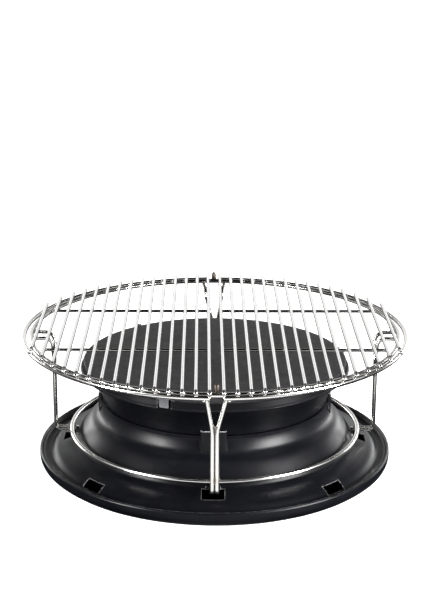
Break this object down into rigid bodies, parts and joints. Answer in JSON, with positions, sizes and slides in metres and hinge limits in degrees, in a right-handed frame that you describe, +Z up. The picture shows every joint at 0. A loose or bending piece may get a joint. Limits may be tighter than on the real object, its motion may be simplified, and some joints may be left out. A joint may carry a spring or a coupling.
{
  "type": "split grate tabletop grill",
  "caption": "Round split wire cooking grate on a lift-off wire rack, standing over a waisted black heat chamber with a flat deflector plate and a slotted, rimmed base tray.",
  "frame": {"origin": "on the chamber axis, in the plane of the base tray's foot", "axes": "+Z up along the chamber axis; the grate bars run along Y; the grate is split along the plane X = 0; -Y is the front"},
  "size_m": [0.5432, 0.5458, 0.2015],
  "materials": {
    "grate_bar_steel": "polished stainless wire",
    "cross_rod_steel": "polished stainless wire",
    "rim_steel": "polished stainless wire",
    "rack_steel": "polished stainless wire",
    "base_coat": "satin black coating on pressed steel",
    "upper_coat": "satin black coating on pressed steel",
    "plate_coat": "matte charcoal coating on pressed steel",
    "clip_coat": "satin black coating on pressed steel",
    "keeper_steel": "grey coated steel blade"
  },
  "bodies": {
    "base": {"base_shell": "base_coat", "upper_shell": "upper_coat", "waist_clip_front": "clip_coat", "waist_clip_right": "clip_coat", "waist_clip_back": "clip_coat", "waist_clip_left": "clip_coat", "rack_rest_front": "clip_coat", "rack_rest_right": "clip_coat", "rack_rest_back": "clip_coat", "rack_rest_left": "clip_coat", "plate_keeper_1": "keeper_steel", "plate_keeper_2": "keeper_steel", "plate_keeper_3": "keeper_steel"},
    "deflector": {"deflector_plate": "plate_coat"},
    "rack": {"rack_top_ring": "rack_steel", "rack_lower_ring": "rack_steel", "rack_leg_front": "rack_steel", "rack_leg_right": "rack_steel", "rack_leg_back": "rack_steel", "rack_leg_left": "rack_steel", "divider_post_front": "rack_steel", "divider_post_back": "rack_steel"},
    "left_grate": {"left_grate_bar_01": "grate_bar_steel", "left_grate_bar_02": "grate_bar_steel", "left_grate_bar_03": "grate_bar_steel", "left_grate_bar_04": "grate_bar_steel", "left_grate_bar_05": "grate_bar_steel", "left_grate_bar_06": "grate_bar_steel", "left_grate_bar_07": "grate_bar_steel", "left_grate_bar_08": "grate_bar_steel", "left_grate_bar_09": "grate_bar_steel", "left_grate_bar_10": "grate_bar_steel", "left_grate_bar_11": "grate_bar_steel", "left_grate_bar_12": "grate_bar_steel", "left_grate_bar_13": "grate_bar_steel", "left_grate_bar_14": "grate_bar_steel", "left_grate_bar_15": "grate_bar_steel", "left_cross_rod_front": "cross_rod_steel", "left_cross_rod_back": "cross_rod_steel", "left_grate_rim_wire": "rim_steel"},
    "right_grate": {"right_grate_bar_01": "grate_bar_steel", "right_grate_bar_02": "grate_bar_steel", "right_grate_bar_03": "grate_bar_steel", "right_grate_bar_04": "grate_bar_steel", "right_grate_bar_05": "grate_bar_steel", "right_grate_bar_06": "grate_bar_steel", "right_grate_bar_07": "grate_bar_steel", "right_grate_bar_08": "grate_bar_steel", "right_grate_bar_09": "grate_bar_steel", "right_grate_bar_10": "grate_bar_steel", "right_grate_bar_11": "grate_bar_steel", "right_grate_bar_12": "grate_bar_steel", "right_grate_bar_13": "grate_bar_steel", "right_grate_bar_14": "grate_bar_steel", "right_grate_bar_15": "grate_bar_steel", "right_cross_rod_front": "cross_rod_steel", "right_cross_rod_back": "cross_rod_steel", "right_grate_rim_wire": "rim_steel"}
  },
  "joints": [
    {"name": "rack_lift", "type": "slide", "parent": "base", "child": "rack", "axis": [0, 0, 1], "range_m": [0, 0.25]},
    {"name": "left_grate_lift", "type": "slide", "parent": "rack", "child": "left_grate", "axis": [0, 0, 1], "range_m": [0, 0.15]},
    {"name": "right_grate_lift", "type": "slide", "parent": "rack", "child": "right_grate", "axis": [0, 0, 1], "range_m": [0, 0.15]},
    {"name": "deflector_lift", "type": "slide", "parent": "base", "child": "deflector", "axis": [0, 0, 1], "range_m": [0, 0.03]}
  ]
}
